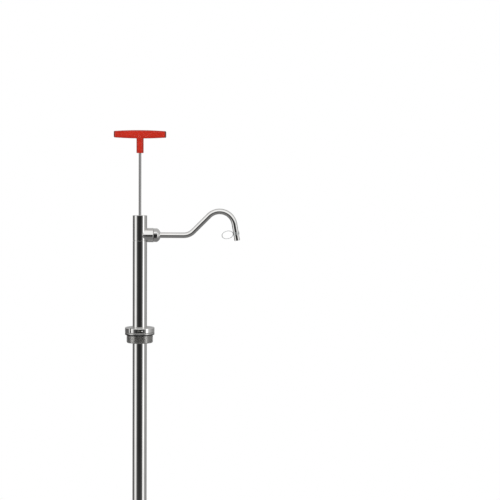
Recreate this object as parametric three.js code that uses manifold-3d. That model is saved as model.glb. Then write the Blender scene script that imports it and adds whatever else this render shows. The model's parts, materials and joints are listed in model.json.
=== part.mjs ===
// Hand-operated drum barrel pump with a swan-neck spout, for the G2 bung of a 200 litre drum.
// Units are millimetres. +Z is up, +X points along the spout, and the origin is the centre of the
// bung seat, on the underside of the gasket.
import * as THREE from "three";
import { mergeVertices } from "three/addons/utils/BufferGeometryUtils.js";
import Module from "manifold-3d";

const wasm = await Module();
wasm.setup();

// Clearance kept between pieces that touch, seat or run in each other.
const gap = 0.3;

// Facets round large, middle and small turned pieces.
const flangeSides = 40;
const largeSides = 32;
const middleSides = 20;
const smallSides = 12;

// Length of a cutter that passes right through its piece, and how far others run past a face.
const throughLength = 50;
const overrun = 1;

// Barrel: one long immersion tube below, a short head tube above, both of the same tube.
const tubeRadius = 16;
const tubeBore = 15;
const footHeight = -733;
const seamHeight = 211;
const headTop = 267.3;
const spigotLength = 17;
const spigotRadius = tubeBore - gap;

// Delivery side.
const outletHeight = 223.4;
const portRadius = 6.5;
const stubRadius = 15.9;
const stubRootRadius = 14.2; // where it meets the barrel
const stubShoulder = 31;
const stubThreadRadius = 12;
const stubFace = 37.7;
const nutAcrossFlats = 28;
const nutEnd = 45.3;
const spoutRadius = 6.25;
const spoutBore = 5.25;
const spoutStart = 39.7;
const firstBendStart = 98;
const firstBendRadius = 30;
const riseAngle = THREE.MathUtils.degToRad(45);
const crestHeight = 53.9;
const crestRadius = 33.6;
const dropAngle = THREE.MathUtils.degToRad(-80);
const tipHeight = -11.1;
const tetherFromTip = 16.2;

// Rod and T-handle.
const rodRadius = 3;
const rodTop = 431.7;
const rodBottom = -510;
const stemBottom = 406.3;
const stemRadius = 7.95;
const barBottom = 439;
const barTop = 457.2;
const barLength = 117;
const barDepth = 15;
const handlePocketRadius = 5.5;
const insertRadius = 5.2;
const strokeUp = 220;
const stopSleeveRadius = 7;

// Piston, hung on the lower end of the rod.
const pistonFoot = -556;
const pistonSleeveRadius = 11.2;
const pistonGuideRadius = 14.2;
const pistonSealRadius = tubeBore - gap;
const pistonBallRadius = 6.5;
const pistonBallRest = 4.25; // its centre above the seat
const lockNutAcrossFlats = 10;
const lockNutHeight = 5;

// Foot valve.
const footSpigotTop = -690;
const footFlangeTop = -715.3;
const footBallRadius = 8;
const footBallRest = 5;
const footGrooveRadius = 12.7;
const footGrooveWidth = 2.4;
const footGrooveRise = 3; // above the flange
const stopPinHeight = -698;
const stopPinRadius = 1.5;

// Bung adapter and clamp collar.
const collarRadius = 33;
const gasketThickness = 1.7;
const flangeBottom = 2;
const flangeTop = 5.2;
const collarBottom = 5.5;
const collarTop = 16;
const threadRadius = 29.8;
const threadBottom = -18;
const slideRadius = tubeRadius + gap;
const splitWidth = 3;
const splitAngle = THREE.MathUtils.degToRad(-124);
const screwOffset = 25;
const screwRadius = 2;
const screwHeadRadius = 3.5;
const screwHeadSeat = 7.3;
const screwHeadEnd = 11.3;
const screwTip = -11;
const pocketFloor = 6;

// ---- geometry helpers ----

// A turned piece about Z. The profile is [radius, height] pairs, anticlockwise; it closes on itself
// unless it starts on the axis.
function turned(profile, sides = largeSides) {
  const points = profile.map(([radius, height]) => new THREE.Vector2(radius, height));
  if (profile[0][0] > 0) points.push(points[0].clone());
  return new THREE.LatheGeometry(points, sides).rotateX(Math.PI / 2);
}

// A plain ring with chamfered outer edges.
function ring(inner, outer, bottom, top, sides = largeSides, chamfer = 0) {
  const profile = [[inner, bottom], [outer - chamfer, bottom]];
  if (chamfer) profile.push([outer, bottom + chamfer], [outer, top - chamfer]);
  profile.push([outer - chamfer, top], [inner, top]);
  return turned(profile, sides);
}

// A solid cylinder about Z.
function rod(radius, bottom, top, sides = largeSides) {
  return turned([[0, bottom], [radius, bottom], [radius, top], [0, top]], sides);
}

// A cutter for a small hole right through a piece, centred on the origin.
function throughRod(radius) {
  return rod(radius, -throughLength / 2, throughLength / 2, smallSides);
}

// A hexagonal bar about Z.
function hexBar(acrossFlats, bottom, top) {
  const cornerRadius = acrossFlats / Math.sqrt(3);
  const bar = new THREE.CylinderGeometry(cornerRadius, cornerRadius, top - bottom, 6);
  return bar.rotateX(Math.PI / 2).translate(0, 0, (bottom + top) / 2);
}

// A torus about Z, as an O-ring.
function oRing(middleRadius, sectionRadius, height) {
  const sectionSides = 6;
  const torus = new THREE.TorusGeometry(middleRadius, sectionRadius, sectionSides, largeSides);
  return torus.translate(0, 0, height);
}

// Moves a geometry's Z axis onto +X or +Y.
function alongX(geometry) {
  return geometry.rotateY(Math.PI / 2);
}

function alongY(geometry) {
  return geometry.rotateX(-Math.PI / 2);
}

function toSolid(geometry) {
  const bare = geometry.clone();
  bare.deleteAttribute("normal");
  bare.deleteAttribute("uv");
  const merged = mergeVertices(bare);
  const mesh = new wasm.Mesh({
    numProp: 3,
    vertProperties: merged.attributes.position.array,
    triVerts: new Uint32Array(merged.index.array),
  });
  return new wasm.Manifold(mesh);
}

function toGeometry(solid) {
  const mesh = solid.getMesh();
  const shared = new THREE.BufferGeometry();
  const positions = new THREE.BufferAttribute(new Float32Array(mesh.vertProperties), 3);
  shared.setAttribute("position", positions);
  shared.setIndex(new THREE.BufferAttribute(new Uint32Array(mesh.triVerts), 1));
  const flat = shared.toNonIndexed();
  flat.computeVertexNormals();
  return flat;
}

// The base with the added geometries joined to it and the cutters taken away.
function shaped(base, { joined = [], cutters = [] }) {
  let solid = toSolid(base);
  for (const piece of joined) solid = solid.add(toSolid(piece));
  for (const cutter of cutters) solid = solid.subtract(toSolid(cutter));
  return toGeometry(solid);
}

function material(color, roughness, metalness) {
  return () => new THREE.MeshStandardMaterial({ color, roughness, metalness });
}

const polishedSteel = material(0xc9cbca, 0.18, 1);
const turnedSteel = material(0xb4b6b5, 0.35, 1);
const brass = material(0xb08d4a, 0.35, 1);
const ptfe = material(0xeeeee8, 0.5, 0);
const blackRubber = material(0x1c1c1e, 0.8, 0);
const redPlastic = material(0xd23a24, 0.4, 0);
const clearNylon = material(0xd9dcda, 0.3, 0);

function addPart(group, name, geometry, finish) {
  const mesh = new THREE.Mesh(geometry, finish());
  mesh.name = name;
  group.add(mesh);
}

// ---- handle and rod ----

// Front outline of the grip bar: nearly straight ends, gently crowned along its top and bottom.
function gripBar() {
  const half = barLength / 2;
  const crown = 2.1;
  const bevel = 3;
  const outline = new THREE.Shape();
  outline.moveTo(-half, barBottom + crown);
  outline.quadraticCurveTo(0, barBottom - crown, half, barBottom + crown);
  outline.lineTo(half, barTop - crown);
  outline.quadraticCurveTo(0, barTop + crown, -half, barTop - crown);
  outline.closePath();
  const bar = new THREE.ExtrudeGeometry(outline, {
    depth: barDepth - 2 * bevel,
    curveSegments: 10,
    bevelThickness: bevel,
    bevelSize: bevel,
    bevelOffset: -bevel,
    bevelSegments: 2,
  });
  return bar.translate(0, 0, bevel - barDepth / 2).rotateX(Math.PI / 2);
}

function handle() {
  const stemChamfer = 1;
  const stemRoot = barBottom + 4;
  const rootRadius = stemRadius - 1.5;
  const stem = turned([
    [0, stemBottom],
    [stemRadius - stemChamfer, stemBottom],
    [stemRadius, stemBottom + stemChamfer],
    [stemRadius, barBottom],
    [rootRadius, stemRoot],
    [0, stemRoot],
  ], middleSides);
  const pocket = rod(handlePocketRadius, stemBottom - overrun, rodTop + 2 * gap, middleSides);
  return shaped(gripBar(), { joined: [stem], cutters: [pocket] });
}

function handleInsert() {
  return ring(rodRadius + gap, insertRadius, stemBottom + 2 * gap, rodTop, middleSides);
}

function pumpRod() {
  const tip = 0.6;
  return turned([
    [0, rodBottom],
    [rodRadius - tip, rodBottom],
    [rodRadius, rodBottom + tip],
    [rodRadius, rodTop - tip],
    [rodRadius - tip, rodTop],
    [0, rodTop],
  ], smallSides);
}

// Stops the up stroke against the underside of the head.
function strokeStopSleeve() {
  const sleeveLength = 20;
  const chamfer = 0.8;
  const top = headUnderside - strokeUp - 1;
  return ring(rodRadius + gap, stopSleeveRadius, top - sleeveLength, top, middleSides, chamfer);
}

// ---- piston ----

const pistonFlangeTop = pistonFoot + 3;
const pistonSleeveTop = pistonFoot + 35;
const pistonSeat = pistonFoot + 7;
const cageBottom = pistonFoot + 20;
const cageTop = rodBottom + 6;

function pistonBody() {
  const inletRadius = 5.2;
  const chamberRadius = 8.5;
  return turned([
    [inletRadius, pistonFoot],
    [pistonGuideRadius, pistonFoot],
    [pistonGuideRadius, pistonFlangeTop],
    [pistonSleeveRadius, pistonFlangeTop],
    [pistonSleeveRadius, pistonSleeveTop],
    [chamberRadius, pistonSleeveTop],
    [chamberRadius, pistonSeat + chamberRadius - inletRadius],
    [inletRadius, pistonSeat],
  ]);
}

// Rings stacked on the piston sleeve, from the flange up, with their heights and outer radii.
const pistonStack = [
  { name: "piston_seal_lower", height: 7.4, radius: pistonSealRadius, finish: ptfe, chamfer: 1 },
  { name: "piston_spacer", height: 6.4, radius: pistonGuideRadius, finish: turnedSteel, chamfer: 0 },
  { name: "piston_seal_upper", height: 7.4, radius: pistonSealRadius, finish: ptfe, chamfer: 1 },
  { name: "piston_clamp_ring", height: 7.6, radius: pistonGuideRadius, finish: turnedSteel, chamfer: 1 },
];

// The cage screws into the sleeve, holds the valve ball down and hangs on the rod. Liquid leaves it
// through cross holes above the sleeve.
function pistonCage() {
  const cageRadius = 8.2;
  const passageRadius = 5.8;
  const windowRadius = 3.6;
  const rodSocketBottom = rodBottom - gap;
  const passageTop = rodSocketBottom - 3;
  const windowHeight = (pistonSleeveTop + passageTop) / 2 + 0.5;
  const blank = rod(cageRadius, cageBottom, cageTop, middleSides);
  const passage = rod(passageRadius, cageBottom - overrun, passageTop, middleSides);
  const socket = rod(rodRadius + gap, rodSocketBottom, cageTop + overrun, smallSides);
  const windows = [alongX, alongY].map((turn) =>
    turn(throughRod(windowRadius)).translate(0, 0, windowHeight));
  return shaped(blank, { cutters: [passage, socket, ...windows] });
}

function rodLockNut() {
  const bottom = cageTop + gap;
  const top = bottom + lockNutHeight;
  const bore = rod(rodRadius + gap, bottom - overrun, top + overrun, smallSides);
  return shaped(hexBar(lockNutAcrossFlats, bottom, top), { cutters: [bore] });
}

function ball(radius, height) {
  return new THREE.SphereGeometry(radius, 16, 10).rotateX(Math.PI / 2).translate(0, 0, height);
}

// ---- head ----

const plugLength = 24;
const plugTop = headTop - 0.4;
const headUnderside = plugTop - plugLength;

function headTube() {
  const spigotBore = 13.4;
  const boreStep = seamHeight + 2;
  const tube = turned([
    [spigotBore, seamHeight - spigotLength],
    [spigotRadius, seamHeight - spigotLength],
    [spigotRadius, seamHeight + gap],
    [tubeRadius, seamHeight + gap],
    [tubeRadius, headTop],
    [tubeBore, headTop],
    [tubeBore, boreStep],
    [spigotBore, boreStep],
  ]);
  const port = alongX(rod(portRadius, 0, tubeRadius + overrun, middleSides));
  return shaped(tube, { cutters: [port.translate(0, 0, outletHeight)] });
}

// The plug closes the head and holds the rod's guide bush, packing and gland nut.
const glandRadius = 9;
const plugRoof = 5;
const bushTop = plugTop - plugRoof - gap;
const bushBottom = bushTop - 6.5;
const packingTop = bushBottom - gap;
const packingBottom = packingTop - 4.4;

function topPlug() {
  const rodHole = rodRadius + 2 * gap;
  return turned([
    [glandRadius, headUnderside],
    [spigotRadius, headUnderside],
    [spigotRadius, plugTop],
    [rodHole, plugTop],
    [rodHole, plugTop - plugRoof],
    [glandRadius, plugTop - plugRoof],
  ]);
}

// A ring between the rod and the gland's bore.
function glandRing(bottom, top, chamfer = 0) {
  return ring(rodRadius + gap, glandRadius - gap, bottom, top, middleSides, chamfer);
}

function glandNut() {
  const slotWidth = 2.5;
  const slotDepth = 2;
  const bore = rodRadius + 0.5;
  const blank = ring(bore, glandRadius - gap, headUnderside + gap, packingBottom - gap, middleSides);
  const spannerSlot = new THREE.BoxGeometry(throughLength, slotWidth, 2 * slotDepth);
  return shaped(blank, { cutters: [spannerSlot.translate(0, 0, headUnderside)] });
}

// ---- delivery side, drawn along +Z from the barrel's axis and then turned onto +X ----

// Short pipe, swelling slightly to the union, whose end is cut to fit round the barrel.
function outletStub() {
  const fillet = 1;
  const threadChamfer = 0.8;
  const buriedEnd = 4;
  const swellStart = 9;
  const swellEnd = 18;
  const pipe = turned([
    [portRadius, buriedEnd],
    [stubRootRadius, buriedEnd],
    [stubRootRadius, swellStart],
    [(stubRootRadius + stubRadius) / 2 + 0.3, (swellStart + swellEnd) / 2],
    [stubRadius, swellEnd],
    [stubRadius, stubShoulder - fillet],
    [stubRadius - fillet, stubShoulder],
    [stubThreadRadius, stubShoulder],
    [stubThreadRadius, stubFace - threadChamfer],
    [stubThreadRadius - threadChamfer, stubFace],
    [portRadius, stubFace],
  ]);
  const barrel = rod(tubeRadius + gap, -throughLength / 2, throughLength / 2);
  return shaped(pipe, { cutters: [barrel.rotateY(-Math.PI / 2)] });
}

const sealOuter = 9.2;
const sealStart = stubFace + gap;
const sealEnd = spoutStart - gap;
const ferruleEnd = spoutStart + 1.5;
const slipWasherStart = ferruleEnd + gap;
const slipWasherEnd = slipWasherStart + 0.8;

// A ring of the seal's outer size inside the union, laid along the outlet.
function unionRing(inner, start, end) {
  return alongX(ring(inner, sealOuter, start, end, middleSides));
}

// The nut's rounded nose, from its corners down to the spout.
function nutNose(cornerRadius) {
  return [
    [cornerRadius, nutEnd - 8.6],
    [14, nutEnd - 5.2],
    [12, nutEnd - 2.7],
    [9.8, nutEnd - 1.1],
    [7.6, nutEnd],
  ];
}

function unionNut() {
  const nutStart = stubShoulder + gap;
  const cornerRadius = nutAcrossFlats / Math.sqrt(3);
  const envelope = turned([
    [0, nutStart],
    [cornerRadius - 1.4, nutStart],
    [cornerRadius, nutStart + 0.8],
    ...nutNose(cornerRadius),
    [0, nutEnd],
  ]);
  const threadBore = rod(stubThreadRadius + gap, nutStart - overrun, stubFace + gap, middleSides);
  const sealBore = rod(sealOuter + gap, stubFace, slipWasherEnd + gap, middleSides);
  const spoutHole = rod(spoutRadius + gap, stubFace, nutEnd + overrun, middleSides);
  const hexagon = hexBar(nutAcrossFlats, nutStart, nutEnd).rotateZ(Math.PI / 6);
  const solid = toSolid(hexagon).intersect(toSolid(envelope));
  return shaped(toGeometry(solid), { cutters: [threadBore, sealBore, spoutHole] });
}

// One circular bend in the XZ plane, from a start point and heading through a turning angle.
class Bend extends THREE.Curve {
  constructor(start, heading, radius, turn) {
    super();
    this.start = start;
    this.heading = heading;
    this.radius = radius;
    this.turn = turn;
  }
  getPoint(t, target = new THREE.Vector3()) {
    const side = Math.sign(this.turn);
    const now = this.heading + this.turn * t;
    const dx = side * this.radius * (Math.sin(now) - Math.sin(this.heading));
    const dz = side * this.radius * (Math.cos(this.heading) - Math.cos(now));
    return target.set(this.start.x + dx, 0, this.start.z + dz);
  }
}

function ahead(from, heading, distance) {
  const step = new THREE.Vector3(Math.cos(heading), 0, Math.sin(heading));
  return step.multiplyScalar(distance).add(from);
}

// Centre line of the spout: level, up at 45 degrees, over the crest and down to the tip.
function spoutRoute() {
  const start = new THREE.Vector3(spoutStart, 0, 0);
  const bendStart = new THREE.Vector3(firstBendStart, 0, 0);
  const firstBend = new Bend(bendStart, 0, firstBendRadius, riseAngle);
  const riseStart = firstBend.getPoint(1);
  const crestRise = crestRadius * (1 - Math.cos(riseAngle));
  const riseLength = (crestHeight - crestRise - riseStart.z) / Math.sin(riseAngle);
  const riseEnd = ahead(riseStart, riseAngle, riseLength);
  const crest = new Bend(riseEnd, riseAngle, crestRadius, dropAngle - riseAngle);
  const dropStart = crest.getPoint(1);
  const tip = ahead(dropStart, dropAngle, (tipHeight - dropStart.z) / Math.sin(dropAngle));
  const route = new THREE.CurvePath();
  route.add(new THREE.LineCurve3(start, bendStart));
  route.add(firstBend);
  route.add(new THREE.LineCurve3(riseStart, riseEnd));
  route.add(crest);
  route.add(new THREE.LineCurve3(dropStart, tip));
  return { route, tip };
}

// Half the section's sides, and the steps along the route.
const spoutHalfSides = 8;
const spoutSteps = 32;

function spout() {
  const section = new THREE.Shape().absarc(0, 0, spoutRadius, 0, 2 * Math.PI);
  section.holes.push(new THREE.Path().absarc(0, 0, spoutBore, 0, 2 * Math.PI, true));
  return new THREE.ExtrudeGeometry(section, {
    curveSegments: spoutHalfSides,
    steps: spoutSteps,
    bevelEnabled: false,
    extrudePath: spoutRoute().route,
  });
}

// A thin band round the spout near its tip with an oval loop on its inner side.
function tetherLoop() {
  const bandHalf = 3.5;
  const bandOuter = spoutRadius + 1.1;
  const wireRadius = 0.9;
  const wireSides = 6;
  const loopRadius = 8.5;
  const stretch = 1.5;
  const droop = THREE.MathUtils.degToRad(-4);
  const loopCentre = -loopRadius * stretch - spoutRadius - 0.2;
  const band = ring(spoutRadius + gap, bandOuter, -bandHalf, bandHalf, middleSides);
  const loop = new THREE.TorusGeometry(loopRadius, wireRadius, wireSides, middleSides);
  loop.scale(stretch, 1, 1).rotateX(Math.PI / 2).rotateY(droop).translate(loopCentre, 0, 0);
  const bore = rod(spoutRadius + gap, -bandHalf - overrun, bandHalf + overrun, middleSides);
  return shaped(band, { joined: [loop], cutters: [bore] });
}

// ---- foot valve ----

const footSeat = footHeight + 15;

function footValveBody() {
  const inletRadius = 6.5;
  const chamberRadius = 10.5;
  const grooveBottom = footFlangeTop + footGrooveRise;
  const grooveTop = grooveBottom + footGrooveWidth;
  const chamfer = 1;
  const blank = turned([
    [inletRadius, footHeight],
    [tubeRadius - chamfer, footHeight],
    [tubeRadius, footHeight + chamfer],
    [tubeRadius, footFlangeTop],
    [spigotRadius, footFlangeTop],
    [spigotRadius, grooveBottom],
    [footGrooveRadius, grooveBottom],
    [footGrooveRadius, grooveTop],
    [spigotRadius, grooveTop],
    [spigotRadius, footSpigotTop],
    [chamberRadius, footSpigotTop],
    [chamberRadius, footSeat + chamberRadius - inletRadius],
    [inletRadius, footSeat],
  ]);
  const slotWidth = 6;
  const slotDepth = 8;
  const slots = [0, Math.PI / 2].map((angle) => {
    const slot = new THREE.BoxGeometry(throughLength, slotWidth, 2 * slotDepth);
    return slot.rotateZ(angle).translate(0, 0, footHeight);
  });
  const pinHole = alongX(throughRod(stopPinRadius + gap)).translate(0, 0, stopPinHeight);
  return shaped(blank, { cutters: [...slots, pinHole] });
}

function ballStopPin() {
  const halfLength = spigotRadius - 0.5;
  const pin = rod(stopPinRadius, -halfLength, halfLength, smallSides);
  return alongX(pin).translate(0, 0, stopPinHeight);
}

function footORing() {
  const sectionRadius = 0.8;
  const middleRadius = footGrooveRadius + sectionRadius + 0.35;
  return oRing(middleRadius, sectionRadius, footFlangeTop + footGrooveRise + footGrooveWidth / 2);
}

// ---- bung adapter ----

function bungAdapter() {
  const coreRadius = 25;
  const coreTop = -4;
  const grooveRadius = 19.5;
  const grooveBottom = -1;
  const grooveTop = 2.4;
  const chamfer = 0.8;
  const threadChamfer = 1.6;
  return turned([
    [coreRadius, threadBottom],
    [threadRadius - threadChamfer, threadBottom],
    [threadRadius, threadBottom + threadChamfer],
    [threadRadius, flangeBottom],
    [collarRadius, flangeBottom],
    [collarRadius, flangeTop - chamfer],
    [collarRadius - chamfer, flangeTop],
    [slideRadius, flangeTop],
    [slideRadius, grooveTop],
    [grooveRadius, grooveTop],
    [grooveRadius, grooveBottom],
    [slideRadius, grooveBottom],
    [slideRadius, coreTop],
    [coreRadius, coreTop],
  ], flangeSides);
}

function adapterORing() {
  const sectionRadius = 1.4;
  return oRing(slideRadius + sectionRadius + 0.1, sectionRadius, 0.7);
}

const collarMiddle = (collarBottom + collarTop) / 2;

// Lays a piece drawn along +Z onto the clamp screw's axis, which is +Y of the collar.
function onScrewAxis(geometry) {
  return alongY(geometry).translate(screwOffset, 0, collarMiddle);
}

// Split ring with a cross screw in a tangential pocket. The split lies along its own +X.
function clampCollar() {
  const chamfer = 0.9;
  const holeEnd = -15;
  const blank = turned([
    [slideRadius, collarBottom],
    [collarRadius - chamfer, collarBottom],
    [collarRadius, collarBottom + chamfer],
    [collarRadius, collarTop - chamfer],
    [collarRadius - chamfer, collarTop],
    [slideRadius, collarTop],
  ], flangeSides);
  const split = new THREE.BoxGeometry(collarRadius, splitWidth, throughLength);
  split.translate(slideRadius + collarRadius / 2 - overrun, 0, collarMiddle);
  const hole = onScrewAxis(rod(screwRadius + gap, holeEnd, pocketFloor + overrun, smallSides));
  const pocket = onScrewAxis(rod(screwHeadRadius + gap, pocketFloor, collarRadius, middleSides));
  return shaped(blank, { cutters: [split, hole, pocket] });
}

// Socket-head screw along +Y of the collar, head outwards.
function clampScrew() {
  const chamfer = 0.4;
  const socketAcrossFlats = 3;
  const socketDepth = 2.2;
  const blank = turned([
    [0, screwTip],
    [screwRadius - chamfer, screwTip],
    [screwRadius, screwTip + chamfer],
    [screwRadius, screwHeadSeat],
    [screwHeadRadius, screwHeadSeat],
    [screwHeadRadius, screwHeadEnd - chamfer],
    [screwHeadRadius - chamfer, screwHeadEnd],
    [0, screwHeadEnd],
  ], middleSides);
  const socket = hexBar(socketAcrossFlats, screwHeadEnd - socketDepth, screwHeadEnd + overrun);
  return onScrewAxis(shaped(blank, { cutters: [socket] }));
}

function clampWasher() {
  const bottom = pocketFloor + gap;
  return onScrewAxis(ring(screwRadius + gap, screwHeadRadius, bottom, screwHeadSeat - gap, middleSides));
}

// ---- assembly ----

const pump = new THREE.Group();

const rodGroup = new THREE.Group();
addPart(rodGroup, "handle", handle(), redPlastic);
addPart(rodGroup, "handle_insert", handleInsert(), brass);
addPart(rodGroup, "pump_rod", pumpRod(), polishedSteel);
addPart(rodGroup, "stroke_stop_sleeve", strokeStopSleeve(), turnedSteel);
addPart(rodGroup, "rod_lock_nut", rodLockNut(), turnedSteel);
addPart(rodGroup, "piston_cage", pistonCage(), turnedSteel);
addPart(rodGroup, "piston_body", pistonBody(), turnedSteel);
let stackHeight = pistonFlangeTop + gap;
for (const piece of pistonStack) {
  const top = stackHeight + piece.height - gap;
  const inner = pistonSleeveRadius + gap;
  const shape = ring(inner, piece.radius, stackHeight, top, largeSides, piece.chamfer);
  addPart(rodGroup, piece.name, shape, piece.finish);
  stackHeight += piece.height;
}
addPart(rodGroup, "piston_ball", ball(pistonBallRadius, pistonSeat + pistonBallRest), polishedSteel);
pump.add(rodGroup);

const barrelGroup = new THREE.Group();
addPart(barrelGroup, "head_tube", headTube(), polishedSteel);
addPart(barrelGroup, "top_plug", topPlug(), turnedSteel);
addPart(barrelGroup, "rod_guide_bush", glandRing(bushBottom, bushTop), ptfe);
addPart(barrelGroup, "rod_packing", glandRing(packingBottom, packingTop, 0.8), blackRubber);
addPart(barrelGroup, "gland_nut", glandNut(), turnedSteel);
const immersionTube = ring(tubeBore, tubeRadius, footFlangeTop + gap, seamHeight);
addPart(barrelGroup, "immersion_tube", immersionTube, polishedSteel);
addPart(barrelGroup, "foot_valve_body", footValveBody(), turnedSteel);
addPart(barrelGroup, "foot_oring", footORing(), blackRubber);
addPart(barrelGroup, "foot_ball", ball(footBallRadius, footSeat + footBallRest), polishedSteel);
addPart(barrelGroup, "ball_stop_pin", ballStopPin(), turnedSteel);
pump.add(barrelGroup);

const outletGroup = new THREE.Group();
addPart(outletGroup, "outlet_stub", alongX(outletStub()), polishedSteel);
addPart(outletGroup, "outlet_seal", unionRing(portRadius + 0.2, sealStart, sealEnd), ptfe);
const ferrule = unionRing(spoutRadius + gap, spoutStart, ferruleEnd);
addPart(outletGroup, "spout_ferrule", ferrule, turnedSteel);
const slipWasher = unionRing(spoutRadius + gap, slipWasherStart, slipWasherEnd);
addPart(outletGroup, "slip_washer", slipWasher, turnedSteel);
addPart(outletGroup, "union_nut", alongX(unionNut()), polishedSteel);
addPart(outletGroup, "spout", spout(), polishedSteel);
const tetherGroup = new THREE.Group();
tetherGroup.position.copy(ahead(spoutRoute().tip, dropAngle, -tetherFromTip));
tetherGroup.rotation.y = -(Math.PI / 2 + dropAngle);
addPart(tetherGroup, "tether_loop", tetherLoop(), clearNylon);
outletGroup.add(tetherGroup);
outletGroup.position.z = outletHeight;
pump.add(outletGroup);

const adapterGroup = new THREE.Group();
addPart(adapterGroup, "bung_adapter", bungAdapter(), turnedSteel);
const gasket = ring(threadRadius + gap, collarRadius, 0, gasketThickness, flangeSides);
addPart(adapterGroup, "bung_gasket", gasket, blackRubber);
addPart(adapterGroup, "adapter_oring", adapterORing(), blackRubber);
pump.add(adapterGroup);

const collarGroup = new THREE.Group();
addPart(collarGroup, "clamp_collar", clampCollar(), polishedSteel);
addPart(collarGroup, "clamp_screw", clampScrew(), turnedSteel);
addPart(collarGroup, "clamp_washer", clampWasher(), turnedSteel);
collarGroup.rotation.z = splitAngle;
pump.add(collarGroup);

export default pump;
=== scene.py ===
import json
import math

import bmesh
import bpy
from mathutils import Matrix, Vector


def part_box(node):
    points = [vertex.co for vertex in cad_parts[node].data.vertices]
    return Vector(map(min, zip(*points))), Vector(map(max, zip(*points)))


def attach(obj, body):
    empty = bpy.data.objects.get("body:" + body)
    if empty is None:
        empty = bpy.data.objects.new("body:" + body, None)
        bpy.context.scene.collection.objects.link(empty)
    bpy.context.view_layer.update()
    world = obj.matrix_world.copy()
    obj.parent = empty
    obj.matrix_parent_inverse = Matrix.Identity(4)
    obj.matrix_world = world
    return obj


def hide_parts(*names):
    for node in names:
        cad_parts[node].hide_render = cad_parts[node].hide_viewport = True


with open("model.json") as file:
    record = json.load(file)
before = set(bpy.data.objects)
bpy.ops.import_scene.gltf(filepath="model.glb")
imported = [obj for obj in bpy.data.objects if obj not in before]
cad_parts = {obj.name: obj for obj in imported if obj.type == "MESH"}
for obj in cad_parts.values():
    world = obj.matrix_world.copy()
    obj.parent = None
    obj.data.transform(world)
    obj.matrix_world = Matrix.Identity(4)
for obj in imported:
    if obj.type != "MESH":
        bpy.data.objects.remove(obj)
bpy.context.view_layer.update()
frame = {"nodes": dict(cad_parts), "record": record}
print("frame loaded:", len(frame["nodes"]), "nodes")

mm = 0.001
fullTurn = 2 * math.pi
fineSteps = 96      # facets round the barrel and other large turned pieces
smallSteps = 64
mergeGap = 0.0001


# a node's lowest and highest corners, in millimetres
def corners(node):
    low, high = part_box(node)
    return low / mm, high / mm


barrelLow, barrelHigh = corners("immersion_tube")
headLow, headHigh = corners("head_tube")
tubeRadius = barrelHigh.x
nutLow, nutHigh = corners("union_nut")
outletHeight = (nutLow.z + nutHigh.z) / 2
clearance = 0.3     # gap the frame keeps between seated pieces

# every shape below is drawn in millimetres, and makePiece brings it to metres


# turns sharp corners of an outline into arcs: a point is (radius, height) or (radius, height, corner)
def roundedOutline(points, closed, arcSteps=4):
    outline = []
    count = len(points)
    for i, point in enumerate(points):
        here = Vector(point[:2])
        corner = point[2] if len(point) > 2 else 0
        if not corner or (not closed and i in (0, count - 1)):
            outline.append(here)
            continue
        toLast = (Vector(points[i - 1][:2]) - here).normalized()
        toNext = (Vector(points[(i + 1) % count][:2]) - here).normalized()
        half = toLast.angle(toNext) / 2
        centre = here + (toLast + toNext).normalized() * corner / math.sin(half)
        start = here + toLast * corner / math.tan(half) - centre
        end = here + toNext * corner / math.tan(half) - centre
        sweep = start.angle_signed(end)
        for k in range(arcSteps + 1):
            turned = Matrix.Rotation(-sweep * k / arcSteps, 2) @ start
            outline.append(centre + turned)
    return outline


# a turned solid about Z from its outline, in millimetres
def turnedShape(points, closed=True, steps=fineSteps, arcSteps=4):
    bm = bmesh.new()
    outline = roundedOutline(points, closed, arcSteps)
    verts = [bm.verts.new((p.x, 0, p.y)) for p in outline]
    edges = [bm.edges.new(pair) for pair in zip(verts, verts[1:])]
    if closed:
        edges.append(bm.edges.new((verts[-1], verts[0])))
    bmesh.ops.spin(bm, geom=verts + edges, cent=(0, 0, 0), axis=(0, 0, 1), angle=fullTurn,
                   steps=steps, use_merge=True)
    return cleaned(bm)


def cleaned(bm):
    bmesh.ops.remove_doubles(bm, verts=bm.verts, dist=mergeGap)
    bmesh.ops.dissolve_degenerate(bm, edges=bm.edges, dist=mergeGap / 10)
    bmesh.ops.recalc_face_normals(bm, faces=bm.faces)
    return bm


# a plain ring with rounded edges
def ringShape(inner, outer, bottom, top, edge=0.3, steps=fineSteps):
    return turnedShape([(inner, bottom, edge * 0.6), (outer, bottom, edge),
                        (outer, top, edge), (inner, top, edge * 0.6)], steps=steps)


def rodShape(radius, bottom, top, edge=0.0, steps=smallSteps):
    return turnedShape([(0, bottom), (radius, bottom, edge), (radius, top, edge), (0, top)],
                       closed=False, steps=steps)


def ballShape(radius, height, steps=48):
    angles = [math.pi * k / steps for k in range(steps + 1)]
    arc = [(radius * math.sin(angle), height - radius * math.cos(angle)) for angle in angles]
    return turnedShape(arc, closed=False, steps=2 * steps)


def torusShape(middle, section, height, steps=fineSteps, sectionSteps=20):
    bm = bmesh.new()
    bmesh.ops.create_circle(bm, segments=sectionSteps, radius=section)
    moveShape(bm, Matrix.Translation((middle, 0, height)) @ Matrix.Rotation(math.pi / 2, 4, "X"))
    bmesh.ops.spin(bm, geom=bm.verts[:] + bm.edges[:], cent=(0, 0, 0), axis=(0, 0, 1), angle=fullTurn,
                   steps=steps, use_merge=True)
    return cleaned(bm)


def boxShape(sizeX, sizeY, sizeZ, centre):
    bm = bmesh.new()
    bmesh.ops.create_cube(bm, size=1)
    scale = Matrix.Diagonal((sizeX, sizeY, sizeZ, 1))
    return moveShape(bm, Matrix.Translation(Vector(centre)) @ scale)


def hexShape(acrossFlats, bottom, top):
    bm = bmesh.new()
    corner = acrossFlats / math.sqrt(3)
    bmesh.ops.create_cone(bm, cap_ends=True, segments=6, radius1=corner, radius2=corner,
                          depth=top - bottom)
    return moveShape(bm, Matrix.Translation((0, 0, (top + bottom) / 2)))


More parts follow.
